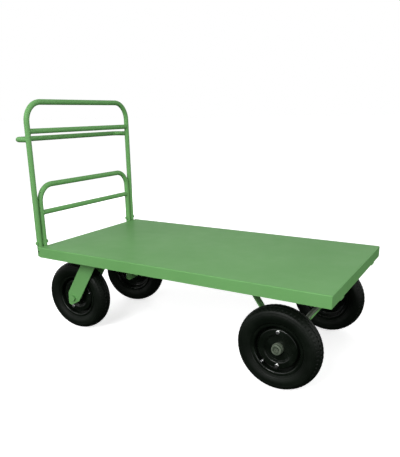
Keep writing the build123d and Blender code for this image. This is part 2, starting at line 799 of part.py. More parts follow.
def make_caster_axle(base, name):
    """Caster axle bolt with its nut and the two spacers that centre the wheel."""
    spacer_start = bearing_face + body_gap
    bolt_end = fork_outer + caster_nut_height + bolt_overhang
    with BuildPart() as caster_axle:
        for side in (-1, 1):
            with BuildSketch(upright_plane(base, side * spacer_start)):
                with Locations((-trail, axle_height)):
                    Circle(spacer_radius)
                    Circle(axle_radius + seat_clearance, mode=Mode.SUBTRACT)
            extrude(amount=-side * (fork_inner - spacer_start))
        with BuildSketch(upright_plane(base, -fork_outer)):
            with Locations((-trail, axle_height)):
                hexagon(caster_bolt_flats)
        extrude(amount=caster_bolt_head_height)
        with BuildSketch(upright_plane(base, -fork_outer)):
            with Locations((-trail, axle_height)):
                Circle(axle_radius)
        extrude(amount=-fork_outer - bolt_end)
        with BuildSketch(upright_plane(base, fork_outer)):
            with Locations((-trail, axle_height)):
                hexagon(caster_bolt_flats)
                Circle(axle_radius + seat_clearance, mode=Mode.SUBTRACT)
        extrude(amount=-caster_nut_height)
    save(caster_axle, name)


for side, side_name, steer, wheel_turn in (
    (-1, "right", right_steer, caster_right_turn),
    (1, "left", left_steer, caster_left_turn),
):
    steer_angle = math.radians(steer)
    swivel = Vector(swivel_x, side * swivel_y, 0)
    forward = Vector(math.cos(steer_angle), math.sin(steer_angle), 0)
    caster_base = Plane(swivel, x_dir=forward, z_dir=(0, 0, 1))
    level_plane = Plane(swivel, x_dir=(1, 0, 0), z_dir=(0, 0, 1))
    make_fork(caster_base, "fork_" + side_name)
    make_caster_plate(caster_base, level_plane, "caster_plate_" + side_name)
    make_balls(caster_base, "swivel_balls_" + side_name)
    make_kingpin(level_plane, "kingpin_" + side_name)
    make_caster_axle(caster_base, "caster_axle_" + side_name)
    wheel_centre = caster_base.from_local_coords(Vector(-trail, 0, axle_height))
    make_wheel(wheel_centre, caster_base.y_dir * side, wheel_turn, "caster_" + side_name)

with BuildPart() as caster_bolts:
    web_top = deck_bottom + channel_wall
    plate_bolt_head_bottom = plate_bottom - plate_bolt_head_height
    plate_bolt_length = web_top + plate_bolt_nut_height + bolt_overhang - plate_bolt_head_bottom
    for side in (-1, 1):
        corner_base = Plane(Vector(swivel_x, side * swivel_y, 0), x_dir=(1, 0, 0), z_dir=(0, 0, 1))
        with BuildSketch(corner_base.offset(plate_bolt_head_bottom)):
            with GridLocations(plate_bolt_spacing_x, plate_bolt_spacing_y, 2, 2):
                hexagon(plate_bolt_flats)
        extrude(amount=plate_bolt_head_height)
        with BuildSketch(corner_base.offset(plate_bolt_head_bottom)):
            with GridLocations(plate_bolt_spacing_x, plate_bolt_spacing_y, 2, 2):
                Circle(plate_bolt_radius)
        extrude(amount=plate_bolt_length)
        with BuildSketch(corner_base.offset(web_top)):
            with GridLocations(plate_bolt_spacing_x, plate_bolt_spacing_y, 2, 2):
                hexagon(plate_bolt_flats)
                Circle(plate_bolt_radius + seat_clearance, mode=Mode.SUBTRACT)
        extrude(amount=plate_bolt_nut_height)
save(caster_bolts, "caster_bolts")
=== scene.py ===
import json
import math

import bpy
from mathutils import Matrix, Vector


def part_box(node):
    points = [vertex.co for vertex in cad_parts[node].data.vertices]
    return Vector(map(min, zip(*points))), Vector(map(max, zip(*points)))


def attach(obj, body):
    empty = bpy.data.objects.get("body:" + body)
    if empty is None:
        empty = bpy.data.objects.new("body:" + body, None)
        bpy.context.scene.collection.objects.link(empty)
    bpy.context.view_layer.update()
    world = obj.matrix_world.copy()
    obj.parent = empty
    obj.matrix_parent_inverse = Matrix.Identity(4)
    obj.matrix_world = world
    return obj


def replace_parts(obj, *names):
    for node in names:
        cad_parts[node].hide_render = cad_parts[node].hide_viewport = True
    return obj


# Looks for the platform cart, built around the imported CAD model. Metres, +Z up, floor at z = 0.
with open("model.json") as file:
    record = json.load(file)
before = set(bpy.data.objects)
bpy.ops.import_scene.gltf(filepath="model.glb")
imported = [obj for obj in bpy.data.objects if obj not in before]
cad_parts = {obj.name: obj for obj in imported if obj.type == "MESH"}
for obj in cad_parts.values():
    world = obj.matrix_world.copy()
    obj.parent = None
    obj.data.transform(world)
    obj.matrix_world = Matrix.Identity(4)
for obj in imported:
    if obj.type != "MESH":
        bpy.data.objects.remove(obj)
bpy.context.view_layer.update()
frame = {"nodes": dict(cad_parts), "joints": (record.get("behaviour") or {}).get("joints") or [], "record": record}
joints = {joint["name"]: joint for joint in frame["joints"]}
MM = 0.001

# For each wheel: its body, its spin joint and the side that faces outboard along the joint's axis.
WHEELS = {
    "fixed_right": ("fixed_wheel_right", "fixed_wheel_right_spin", -1),
    "fixed_left": ("fixed_wheel_left", "fixed_wheel_left_spin", 1),
    "caster_right": ("caster_wheel_right", "caster_wheel_right_spin", -1),
    "caster_left": ("caster_wheel_left", "caster_wheel_left_spin", 1),
}


# ---------------------------------------------------------------- materials
COAT_ROUGHNESS = 0.12


class Surface:
    """A Principled material with helpers for its procedural nodes, in object coordinates."""

    def __init__(self, name, colour, roughness, metallic=0.0, coat=0.0, specular=0.5):
        self.material = bpy.data.materials.new(name)
        self.material.use_nodes = True
        self.tree = self.material.node_tree
        self.shader = self.tree.nodes["Principled BSDF"]
        settings = {
            "Base Color": (*colour, 1),
            "Roughness": roughness,
            "Metallic": metallic,
            "Coat Weight": coat,
            "Coat Roughness": COAT_ROUGHNESS,
            "Specular IOR Level": specular,
        }
        for socket, value in settings.items():
            self.shader.inputs[socket].default_value = value
        self.place = self.node("ShaderNodeTexCoord").outputs["Object"]

    def node(self, kind, **settings):
        made = self.tree.nodes.new(kind)
        for key, value in settings.items():
            setattr(made, key, value)
        return made

    def link(self, output, node, name):
        self.tree.links.new(output, node.inputs[name])

    def noise(self, scale, detail, roughness=0.5, stretch=None):
        made = self.node("ShaderNodeTexNoise")
        made.inputs["Scale"].default_value = scale
        made.inputs["Detail"].default_value = detail
        made.inputs["Roughness"].default_value = roughness
        place = self.place
        if stretch:
            mapping = self.node("ShaderNodeMapping")
            mapping.inputs["Scale"].default_value = stretch
            self.link(place, mapping, "Vector")
            place = mapping.outputs["Vector"]
        self.link(place, made, "Vector")
        return made.outputs["Fac"]

    def ramp(self, value, low, high, low_colour=(0, 0, 0), high_colour=(1, 1, 1)):
        made = self.node("ShaderNodeValToRGB")
        first, last = made.color_ramp.elements
        first.position = low
        last.position = high
        first.color = (*low_colour, 1)
        last.color = (*high_colour, 1)
        self.link(value, made, "Fac")
        return made.outputs["Color"]

    def mix(self, factor, first, second):
        """Colour between a linked first colour and a plain second one."""
        made = self.node("ShaderNodeMix", data_type="RGBA")
        factor_input, first_input, second_input = made.inputs[0], made.inputs[6], made.inputs[7]
        self.tree.links.new(factor, factor_input)
        self.tree.links.new(first, first_input)
        second_input.default_value = (*second, 1)
        return made.outputs[2]

    def span(self, value, low, high):
        """Value from 0 to 1 spread over low to high."""
        made = self.node("ShaderNodeMapRange")
        made.inputs["To Min"].default_value = low
        made.inputs["To Max"].default_value = high
        self.link(value, made, "Value")
        return made.outputs["Result"]

    def clouds(self, noise, low, high, low_colour, high_colour):
        """Base colour that drifts from one colour to another as the noise rises from low to high."""
        self.link(self.ramp(noise, low, high, low_colour, high_colour), self.shader, "Base Color")

    def sheen_patches(self, noise, low, high):
        """Roughness that varies from low to high."""
        self.link(self.span(noise, low, high), self.shader, "Roughness")

    def grain(self, noise, strength, depth):
        """Fine relief, on top of any relief made before."""
        made = self.node("ShaderNodeBump")
        made.inputs["Strength"].default_value = strength
        made.inputs["Distance"].default_value = depth
        self.link(noise, made, "Height")
        normal = self.shader.inputs["Normal"]
        if normal.is_linked:
            self.link(normal.links[0].from_socket, made, "Normal")
        self.link(made.outputs["Normal"], self.shader, "Normal")


def green_paint():
    """Semi-gloss enamel: slight colour drift, orange peel, fine dust and rare pale scratches."""
    dust_colour = (0.33, 0.44, 0.30)
    scratch_colour = (0.42, 0.50, 0.40)
    s = Surface("green_enamel", (0.15, 0.36, 0.12), 0.5, coat=0.02, specular=0.14)
    drift = s.ramp(s.noise(2.2, 4), 0.35, 0.65, (0.140, 0.350, 0.112), (0.160, 0.382, 0.130))
    dust = s.ramp(s.noise(7, 8, 0.7), 0.55, 0.85)
    dusty = s.mix(s.span(dust, 0.0, 0.09), drift, dust_colour)
    scratches = s.ramp(s.noise(26, 6, 0.75, stretch=(1, 9, 5)), 0.735, 0.76)
    s.link(s.mix(s.span(scratches, 0.0, 0.35), dusty, scratch_colour), s.shader, "Base Color")
    s.sheen_patches(s.noise(14, 5), 0.40, 0.60)
    s.grain(s.noise(420, 2), 0.10, 0.4 * MM)
    s.grain(s.noise(9, 2), 0.08, 2 * MM)
    return s.material


def black_rubber():
    """Moulded tyre rubber: deep black, a little bloom and dust, fine grain."""
    s = Surface("tyre_rubber", (0.004, 0.007, 0.004), 0.45, specular=0.16)
    s.clouds(s.noise(11, 6, 0.6), 0.42, 0.78, (0.0022, 0.0042, 0.0022), (0.0060, 0.0095, 0.0060))
    s.sheen_patches(s.noise(30, 4), 0.36, 0.58)
    s.grain(s.noise(900, 3), 0.18, 0.3 * MM)
    return s.material


def tube_rubber():
    """Inner tube rubber, matt with talc."""
    s = Surface("inner_tube_rubber", (0.03, 0.03, 0.03), 0.6)
    s.clouds(s.noise(24, 5), 0.4, 0.7, (0.02, 0.02, 0.02), (0.06, 0.06, 0.058))
    s.grain(s.noise(500, 2), 0.2, 0.2 * MM)
    return s.material


def black_enamel():
    """Pressed rim: gloss black enamel with light dust in random cloudy patches."""
    s = Surface("black_enamel", (0.004, 0.006, 0.004), 0.24, coat=0.22, specular=0.22)
    s.clouds(s.noise(16, 6), 0.45, 0.8, (0.003, 0.005, 0.003), (0.009, 0.013, 0.009))
    s.sheen_patches(s.noise(22, 4), 0.18, 0.34)
    s.grain(s.noise(380, 2), 0.08, 0.3 * MM)
    return s.material


def bright_zinc():
    """Zinc plate: pale metal with cloudy patches."""
    s = Surface("bright_zinc", (0.82, 0.83, 0.82), 0.28, metallic=1.0)
    s.clouds(s.noise(120, 5), 0.35, 0.7, (0.72, 0.74, 0.73), (0.93, 0.94, 0.91))
    s.sheen_patches(s.noise(160, 4), 0.2, 0.42)
    s.grain(s.noise(700, 2), 0.12, 0.1 * MM)
    return s.material


def dark_steel():
    """Oiled steel of the swivel heads, with a little dust stuck to it."""
    s = Surface("dark_steel", (0.06, 0.065, 0.06), 0.4, metallic=0.7)
    s.clouds(s.noise(40, 6), 0.4, 0.75, (0.035, 0.04, 0.035), (0.12, 0.125, 0.115))
    s.sheen_patches(s.noise(60, 4), 0.28, 0.6)
    s.grain(s.noise(300, 3), 0.15, 0.2 * MM)
    return s.material


def oiled_steel():
    """Mill steel of the hubs, axle and collars, grey-green under oil and dust."""
    s = Surface("oiled_steel", (0.15, 0.18, 0.135), 0.42, metallic=0.5)
    s.clouds(s.noise(70, 6), 0.35, 0.7, (0.10, 0.13, 0.09), (0.21, 0.25, 0.185))
    s.sheen_patches(s.noise(90, 4), 0.32, 0.58)
    s.grain(s.noise(500, 3), 0.12, 0.1 * MM)
    return s.material


def ground_steel():
    """Ground steel of the bearings and the valves."""
    s = Surface("ground_steel", (0.55, 0.56, 0.57), 0.22, metallic=1.0)
    s.clouds(s.noise(90, 4), 0.3, 0.7, (0.48, 0.49, 0.50), (0.64, 0.65, 0.66))
    s.grain(s.noise(600, 2, stretch=(1, 1, 12)), 0.1, 0.05 * MM)
    return s.material


MATERIALS = {
    "paint": green_paint(),
    "swivel": dark_steel(),
    "rim": black_enamel(),
    "tyre": black_rubber(),
    "inner_tube": tube_rubber(),
    "zinc": bright_zinc(),
    "steel": oiled_steel(),
    "bearing": ground_steel(),
}

for part in frame["record"]["subparts"]:
    data = frame["nodes"][part["node"]].data
    data.materials.clear()
    data.materials.append(MATERIALS[part["material_slot"]])


# ---------------------------------------------------------------- mesh helpers
def node_verts(name, place=None):
    """A CAD node's corners, in the row frame or in the frame of a place."""
    back = place.inverted() if place else Matrix.Identity(4)
    return [back @ v.co for v in frame["nodes"][name].data.vertices]


def add_piece(name, verts, faces, slot, body, place=None, sharp_angle=30):
    """A mesh piece with its material, on its body."""
    mesh = bpy.data.meshes.new(name)
    mesh.from_pydata([tuple(v) for v in verts], [], faces)
    mesh.validate()
    mesh.shade_smooth()
    mesh.set_sharp_from_angle(angle=math.radians(sharp_angle))
    mesh.materials.append(MATERIALS[slot])
    piece = bpy.data.objects.new(name, mesh)
    if place:
        piece.matrix_world = place
    bpy.context.scene.collection.objects.link(piece)
    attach(piece, body)
    return piece


def framed(x, y, z, origin):
    """A place with the given axes and origin."""
    place = Matrix((x, y, z)).transposed().to_4x4()
    place.translation = Vector(origin)
    return place


def wheel_place(joint_name, side):
    """Frame of a wheel: local x outboard along the axle, local z up, origin at its middle."""
    joint = joints[joint_name]
    out = Vector(joint["axis"]).normalized() * side
    up = Vector((0, 0, 1))
    return framed(out, up.cross(out), up, joint["pos_m"])


def along_axis(origin, direction):
    """Frame whose local x runs along a horizontal direction, with local z up."""
    x = Vector(direction).normalized()
    up = Vector((0, 0, 1))
    return framed(x, up.cross(x), up, origin)


def ring_faces(rings, points, close_profile=True):
    """Quads between rings of points, closed round the axis."""
    faces = []
    last = points if close_profile else points - 1
    for i in range(rings):
        j = (i + 1) % rings
        for k in range(last):
            n = (k + 1) % points
            faces.append((i * points + k, i * points + n, j * points + n, j * points + k))
    return faces


def turned_verts(outline, count, shaped=None):
    """Points of an outline of (along, radius) turned about the local x axis, changed by shaped if given."""
    verts = []
    for i in range(count):
        turn = 2 * math.pi * i / count
        for along, radius in outline:
            if shaped:
                along, radius = shaped(along, radius, turn)
            verts.append((along, radius * math.sin(turn), radius * math.cos(turn)))
    return verts


def half_turn(angle):
    """The same angle between minus and plus half a turn."""
    return (angle + math.pi) % (2 * math.pi) - math.pi


def arc_through(start, middle, end, count):
    """Points of the circular arc from start through middle to end, in the section plane."""
    (ax, ay), (bx, by), (cx, cy) = start, middle, end
    d = 2 * (ax * (by - cy) + bx * (cy - ay) + cx * (ay - by))
    sa, sb, sc = ax * ax + ay * ay, bx * bx + by * by, cx * cx + cy * cy
    ux = (sa * (by - cy) + sb * (cy - ay) + sc * (ay - by)) / d
    uy = (sa * (cx - bx) + sb * (ax - cx) + sc * (bx - ax)) / d
    radius = math.hypot(ax - ux, ay - uy)
    first = math.atan2(ay - uy, ax - ux)
    turn = half_turn(math.atan2(cy - uy, cx - ux) - first)
    via = half_turn(math.atan2(by - uy, bx - ux) - first)
    if turn * via < 0:
        turn -= math.copysign(2 * math.pi, turn)
    angles = [first + turn * i / count for i in range(count + 1)]
    return [(ux + radius * math.cos(angle), uy + radius * math.sin(angle)) for angle in angles]


# ---------------------------------------------------------------- tyres
tyre_low, tyre_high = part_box("fixed_right_tyre")
rim_low, rim_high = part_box("fixed_right_rim_outer")
TYRE_RADIUS = (tyre_high.z - tyre_low.z) / 2
TYRE_HALF_WIDTH = (tyre_high.y - tyre_low.y) / 2
RIM_FLANGE_RADIUS = (rim_high.z - rim_low.z) / 2
BEAD_RADIUS = RIM_FLANGE_RADIUS - 10 * MM
BEAD_HALF_WIDTH = 29.7 * MM
BEAD_CHAMFER = 3 * MM
BEAD_THICKNESS = 5 * MM
WALL_THICKNESS = 6 * MM
TREAD_THICKNESS = 9 * MM
SHOULDER_DROP = 14 * MM
SHOULDER_INSET = 7 * MM
WALL_STEPS = 60
# Raised rings of the sidewall as (radius, height, width).
SIDEWALL_RINGS = (
    (118 * MM, 1.3 * MM, 1.6 * MM),
    (124 * MM, 0.7 * MM, 0.8 * MM),
    (151 * MM, 0.8 * MM, 0.9 * MM),
    (155 * MM, 0.8 * MM, 0.9 * MM),
    (159 * MM, 0.8 * MM, 0.9 * MM),
)
TREAD_GROOVES = (16 * MM, 0.0, -16 * MM)
GROOVE_HALF_WIDTH = 2.0 * MM
GROOVE_DEPTH = 4.5 * MM
GROOVE_LIP = 0.35 * MM
# Section of a groove as (share of its half width, share of its depth).
GROOVE_SECTION = ((1, 0), (1, 0.25), (0.75, 1), (-0.75, 1), (-1, 0.25), (-1, 0))
ZIGZAG = 2.2 * MM
ZIGZAG_COUNT = 60
STEPS_PER_ZIGZAG = 8
# Outer land of the tread as (axial place in mm, share of the notch's depth).
OUTER_LAND = ((35.5, 0.7), (33, 1), (30, 1), (27.5, 1), (26.5, 0), (24, 0), (21.5, 0))
NOTCH_DEPTH = 2.6 * MM
NOTCH_STEPS = (0, 1)


def mirrored(outline):
    """The outline on the other side of the tyre's middle, in the opposite order."""
    return [(-a, *rest) for a, *rest in reversed(outline)]


def sidewall(bulge, shoulder):
    """Sidewall from the rim flange to the shoulder, with its raised rings."""
    wall = arc_through((BEAD_HALF_WIDTH, RIM_FLANGE_RADIUS), bulge, shoulder, WALL_STEPS)
    outline = []
    for index, (a, r) in enumerate(wall):
        before = wall[max(index - 1, 0)]
        after = wall[min(index + 1, WALL_STEPS)]
        normal = Vector((after[1] - before[1], before[0] - after[0])).normalized()
        rise = sum(height * math.exp(-(((r - ring) / width) ** 2)) for ring, height, width in SIDEWALL_RINGS)
        outline.append((a + normal.x * rise, r + normal.y * rise, 0.0, 0.0))
    return outline


def tyre_section():
    """Closed outline of the tyre as (axial place, radius, zigzag share, notch share)."""
    shoulder = (TYRE_HALF_WIDTH - SHOULDER_INSET, TYRE_RADIUS - SHOULDER_DROP)
    bulge = (TYRE_HALF_WIDTH, (RIM_FLANGE_RADIUS + shoulder[1]) / 2)
    arc_radius = (shoulder[0] * shoulder[0] + SHOULDER_DROP * SHOULDER_DROP) / (2 * SHOULDER_DROP)

    def crown(a):
        return TYRE_RADIUS - arc_radius + math.sqrt(arc_radius * arc_radius - a * a)

    side = sidewall(bulge, shoulder)
    land = [(a * MM, crown(a * MM), 0.0, notch) for a, notch in OUTER_LAND]
    tread = []
    for groove in TREAD_GROOVES:
        for offset, depth in GROOVE_SECTION:
            lip = 0 if depth else math.copysign(GROOVE_LIP, offset)
            a = groove + offset * GROOVE_HALF_WIDTH + lip
            tread.append((a, crown(a) - depth * GROOVE_DEPTH, 1.0, 0.0))
    crown_inside = [(0, TYRE_RADIUS - TREAD_THICKNESS, 0, 0)]
    lining = [
        (shoulder[0] - WALL_THICKNESS, shoulder[1] - WALL_THICKNESS, 0, 0),
        (TYRE_HALF_WIDTH - WALL_THICKNESS, bulge[1], 0, 0),
        (BEAD_HALF_WIDTH - BEAD_THICKNESS, RIM_FLANGE_RADIUS, 0, 0),
        (BEAD_HALF_WIDTH - BEAD_THICKNESS, BEAD_RADIUS, 0, 0),
        (BEAD_HALF_WIDTH - BEAD_CHAMFER, BEAD_RADIUS, 0, 0),
        (BEAD_HALF_WIDTH, BEAD_RADIUS + BEAD_CHAMFER, 0, 0),
    ]
    outside = side + land + tread + mirrored(land) + mirrored(side)
    return outside + mirrored(lining) + crown_inside + lining


def make_tyre(wheel, body, place):
    """Pneumatic tyre with zigzag grooves, notched shoulders and ringed sidewalls."""
    section = tyre_section()
    rings = ZIGZAG_COUNT * STEPS_PER_ZIGZAG
    verts = []
    for i in range(rings):
        turn = 2 * math.pi * i / rings
        step = i % STEPS_PER_ZIGZAG
        swing = ZIGZAG * (4 * abs(step / STEPS_PER_ZIGZAG - 0.5) - 1)
        notch_depth = NOTCH_DEPTH if step in NOTCH_STEPS else 0.0
        for a, r, zigzag, notch in section:
            radius = r - notch * notch_depth
            verts.append((a + zigzag * swing, radius * math.sin(turn), radius * math.cos(turn)))
    faces = ring_faces(rings, len(section))
    tyre = add_piece(wheel + "_tread", verts, faces, "tyre", body, place, sharp_angle=40)
    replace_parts(tyre, wheel + "_tyre")


for wheel, (body, spin, side) in WHEELS.items():
    make_tyre(wheel, body, wheel_place(spin, side))


# ---------------------------------------------------------------- nuts, bolts, collars and valves
HEX_STEPS = 48
HEX_FACE_SHARE = 0.96
HEX_CORNER_CHAMFER = math.radians(30)
HEX_SEAT_SHARE = 0.3
TURNED_STEPS = 32
THREAD_STEPS = 24
THREAD_ROOT_SHARE = 0.91
THREAD_PITCH = 1.25 * MM


class Build:
    """Collects the corners and faces of a piece made from several turned shapes."""

    def __init__(self):
        self.verts, self.faces = [], []

    def add(self, verts, faces, place):
        start = len(self.verts)
        self.verts += [place @ Vector(v) for v in verts]
        self.faces += [tuple(start + i for i in face) for face in faces]

    def ring(self, outline, place, count):
        """Turns a closed outline of (along, radius) about the local x axis, open in the middle."""
        self.add(turned_verts(outline, count), ring_faces(count, len(outline)), place)

    def turned(self, outline, place, count=TURNED_STEPS, shaped=None):
        """Turns an open outline of (along, radius) about the local x axis, closed at both ends."""
        points = len(outline)
        faces = ring_faces(count, points, close_profile=False)
        faces.append(tuple(i * points for i in reversed(range(count))))
        faces.append(tuple(i * points + points - 1 for i in range(count)))
        self.add(turned_verts(outline, count, shaped), faces, place)

    def hexagon(self, flats, height, place):
        """Hexagon head or nut along local x, with the corner chamfers of a turned blank."""
        face_radius = flats / 2 * HEX_FACE_SHARE

        def shaped(along, share, turn):
            """Share 1 lies on the hexagon, and less on the round face inside its chamfer."""
            if share < 1:
                return along, share * face_radius
            sector = (turn + math.pi / 6) % (math.pi / 3) - math.pi / 6
            corner = flats / 2 / math.cos(sector)
            cut = (corner - face_radius) * math.tan(HEX_CORNER_CHAMFER)
            return (along - cut if along > height / 2 else along + cut * HEX_SEAT_SHARE), corner

        self.turned([(0, 0.9), (0, 1), (height, 1), (height, 0.999)], place, HEX_STEPS, shaped)

    def threads(self, radius, end, place, pitch=THREAD_PITCH):
        """Threaded shank along local x, as a stack of ridges with a chamfered tip."""
        outline = [(0, radius)]
        along = pitch / 2
        while along < end - pitch:
            outline += [(along, radius), (along + pitch / 2, radius * THREAD_ROOT_SHARE)]
            along += pitch
        outline += [(end - radius * 0.2, radius * 0.95), (end, radius * 0.75)]
        self.turned(outline, place, THREAD_STEPS)

    def piece(self, name, slot, body):
        return add_piece(name, self.verts, self.faces, slot, body)


COLLAR_STEPS = 72
COLLAR_CHAMFER = 1.2 * MM
COLLAR_EDGE = 0.4 * MM
COLLAR_FACE_RIM = 5 * MM
COLLAR_FACE_STEP = 0.9 * MM
COLLAR_GROOVE_WIDTH = 3.0 * MM
COLLAR_GROOVE_FLOOR = 2.6 * MM
COLLAR_GROOVE_DEPTH = 6.0 * MM


def collar_outline(bore, radius, length):
    """Section of a collar: chamfered rim, stepped face and a deep groove round the axle end."""
    face = length - COLLAR_FACE_STEP
    return [
        (0, bore),
        (0, radius - COLLAR_CHAMFER),
        (COLLAR_CHAMFER, radius),
        (length - COLLAR_CHAMFER - COLLAR_EDGE, radius),
        (length - COLLAR_EDGE, radius - COLLAR_CHAMFER),
        (length, radius - 2 * COLLAR_CHAMFER),
        (length, radius - COLLAR_FACE_RIM),
        (face, radius - COLLAR_FACE_RIM - 2 * COLLAR_EDGE),
        (face, bore + COLLAR_GROOVE_WIDTH),
        (length - COLLAR_GROOVE_DEPTH, bore + COLLAR_GROOVE_FLOOR),
        (length - COLLAR_GROOVE_DEPTH - COLLAR_EDGE, bore),
    ]


def make_collars():
    """Turned collars on both ends of the axle, on the size of the CAD's plain ones."""
    build = Build()
    verts = node_verts("axle_collars")
    for side in (-1, 1):
        ends = [v for v in verts if v.y * side > 0]
        outer = max(v.y * side for v in ends)
        inner = min(v.y * side for v in ends)
        top, bottom = max(v.z for v in ends), min(v.z for v in ends)
        centre_x = (max(v.x for v in ends) + min(v.x for v in ends)) / 2
        centre_z = (top + bottom) / 2
        bore = min(math.hypot(v.x - centre_x, v.z - centre_z) for v in ends)
        outline = collar_outline(bore, (top - bottom) / 2, outer - inner)
        build.ring(outline, along_axis((centre_x, inner * side, centre_z), (0, side, 0)), COLLAR_STEPS)
    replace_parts(build.piece("axle_collars_turned", "steel", "chassis"), "axle_collars")


RIM_BOLT_FLATS = 13 * MM
RIM_BOLT_RADIUS = 4 * MM
RIM_BOLT_HEAD_HEIGHT = 5.5 * MM
RIM_NUT_HEIGHT = 6.5 * MM
RIM_BOLT_TAIL = 8.5 * MM
WASHER_THICKNESS = 1.2 * MM
WASHER_RADIUS = 8 * MM
WASHER_OUTLINE = (
    (0, WASHER_RADIUS),
    (WASHER_THICKNESS * 0.8, WASHER_RADIUS),
    (WASHER_THICKNESS, WASHER_RADIUS - 0.4 * MM),
)


def make_rim_bolts(wheel, body, place):
    """Two opposite clamp bolts with washers, nuts and threaded ends, where the CAD has its bolts."""
    node = wheel + "_rim_bolts"
    verts = node_verts(node, place)
    # Squared as complex numbers, opposite directions add up instead of cancelling.
    doubled = sum((complex(v.z, v.y) ** 2 for v in verts), 0j)
    angle = math.atan2(doubled.imag, doubled.real) / 2
    circle = sum(math.hypot(v.y, v.z) for v in verts) / len(verts)
    head_base = max(v.x for v in verts) - RIM_BOLT_HEAD_HEIGHT
    nut_face = min(v.x for v in verts) + RIM_BOLT_TAIL
    build = Build()
    for sign in (1, -1):
        y = sign * circle * math.sin(angle)
        z = sign * circle * math.cos(angle)
        washer = place @ along_axis((head_base, y, z), (1, 0, 0))
        head = place @ along_axis((head_base + WASHER_THICKNESS, y, z), (1, 0, 0))
        nut = place @ along_axis((nut_face, y, z), (-1, 0, 0))
        build.turned(WASHER_OUTLINE, washer)
        build.hexagon(RIM_BOLT_FLATS, RIM_BOLT_HEAD_HEIGHT - WASHER_THICKNESS, head)
        build.hexagon(RIM_BOLT_FLATS, RIM_NUT_HEIGHT, nut)
        build.threads(RIM_BOLT_RADIUS, RIM_BOLT_TAIL, nut)
    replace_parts(build.piece(wheel + "_clamp_bolts", "zinc", body), node)


VALVE_ROOT = 18 * MM
VALVE_SHOWS_FROM = 28 * MM
VALVE_RADIUS = 4.1 * MM
VALVE_LENGTH = 10 * MM
VALVE_PITCH = 0.9 * MM
CAP_LENGTH = 7 * MM
CAP_OUTLINE = (
    (0, 4.6 * MM),
    (0.6 * MM, 5.0 * MM),
    (6.4 * MM, 4.8 * MM),
    (7.4 * MM, 4.0 * MM),
    (7.8 * MM, 2.2 * MM),
)
CAP_STEPS = 64
CAP_RIBS = 16
CAP_RIB_SHARE = 0.05


def cap_ribs(along, radius, turn):
    """Grip ribs on the round of the cap, none on its end."""
    if radius > 4 * MM:
        radius *= 1 + CAP_RIB_SHARE * math.cos(turn * CAP_RIBS)
    return along, radius


def make_valve(wheel, body, place):
    """Threaded valve stem with a ribbed cap, over the CAD's plain stem."""
    tube = node_verts(wheel + "_inner_tube", place)
    stem = [v for v in tube if v.x > VALVE_SHOWS_FROM and math.hypot(v.y, v.z) < BEAD_RADIUS]
    end = max(v.x for v in stem)
    y = sum(v.y for v in stem) / len(stem)
    z = sum(v.z for v in stem) / len(stem)
    build = Build()
    build.threads(VALVE_RADIUS, VALVE_LENGTH, place @ along_axis((VALVE_ROOT, y, z), (1, 0, 0)), VALVE_PITCH)
    cap = place @ along_axis((end - CAP_LENGTH, y, z), (1, 0, 0))
    build.turned(CAP_OUTLINE, cap, CAP_STEPS, cap_ribs)
    build.piece(wheel + "_valve", "bearing", body)


make_collars()
for wheel, (body, spin, side) in WHEELS.items():
    make_rim_bolts(wheel, body, wheel_place(spin, side))
    make_valve(wheel, body, wheel_place(spin, side))


# ---------------------------------------------------------------- weld beads
WELD_RADIUS = 2.0 * MM
RIPPLE_PITCH = 2.4 * MM
RIPPLE_STEPS = 4
LEAST_STEPS = 8
RIPPLE_SHARE = 0.16
WELD_SIDES = 8
RING_POINTS = 40
# A bead starts and ends at this share of its thickness, and gains the step at each ring.
END_SHARE = 0.45
END_STEP = 0.2
# A bead round a tube lies this far outside the tube.
WELD_STANDS_OFF = WELD_RADIUS * 0.3


def spread_evenly(points, steps):
    """Points at even distances along a line of points, with both its ends."""
    lengths = [0.0]
    for a, b in zip(points, points[1:]):
        lengths.append(lengths[-1] + (b - a).length)
    spread = []
    span = 0
    for i in range(steps + 1):
        at = lengths[-1] * i / steps
        while span < len(points) - 2 and lengths[span + 1] < at:
            span += 1
        share = (at - lengths[span]) / max(lengths[span + 1] - lengths[span], 1e-9)
        spread.append(points[span].lerp(points[span + 1], min(share, 1.0)))
    return spread


def weld(name, points, body, closed=False):
    """A rippled weld bead along a line of points."""
    points = [Vector(p) for p in points]
    if closed:
        points.append(points[0])
    total = sum((b - a).length for a, b in zip(points, points[1:]))
    steps = max(LEAST_STEPS, round(total / (RIPPLE_PITCH / RIPPLE_STEPS)))
    centres = spread_evenly(points, steps)
    if closed:
        centres.pop()
    rings = len(centres)
    verts = []
    normal = None
    for i, centre in enumerate(centres):
        after = centres[(i + 1) % rings] if closed else centres[min(i + 1, rings - 1)]
        before = centres[i - 1] if closed or i else centres[0]
        tangent = (after - before).normalized()
        if normal is None:
            normal = tangent.orthogonal().normalized()
        normal = (normal - normal.dot(tangent) * tangent).normalized()
        side = tangent.cross(normal)
        thickness = 1 + RIPPLE_SHARE * math.sin(2 * math.pi * i * total / steps / RIPPLE_PITCH)
        if not closed:
            thickness *= min(1.0, END_SHARE + END_STEP * min(i, rings - 1 - i))
        for k in range(WELD_SIDES):
            turn = 2 * math.pi * k / WELD_SIDES
            around = normal * math.cos(turn) + side * math.sin(turn)
            verts.append(centre + WELD_RADIUS * thickness * around)
    faces = ring_faces(rings, WELD_SIDES)
    if not closed:
        faces = faces[: (rings - 1) * WELD_SIDES]
        faces.append(tuple(reversed(range(WELD_SIDES))))
        faces.append(tuple((rings - 1) * WELD_SIDES + k for k in range(WELD_SIDES)))
    add_piece(name, verts, faces, "paint", body, sharp_angle=60)


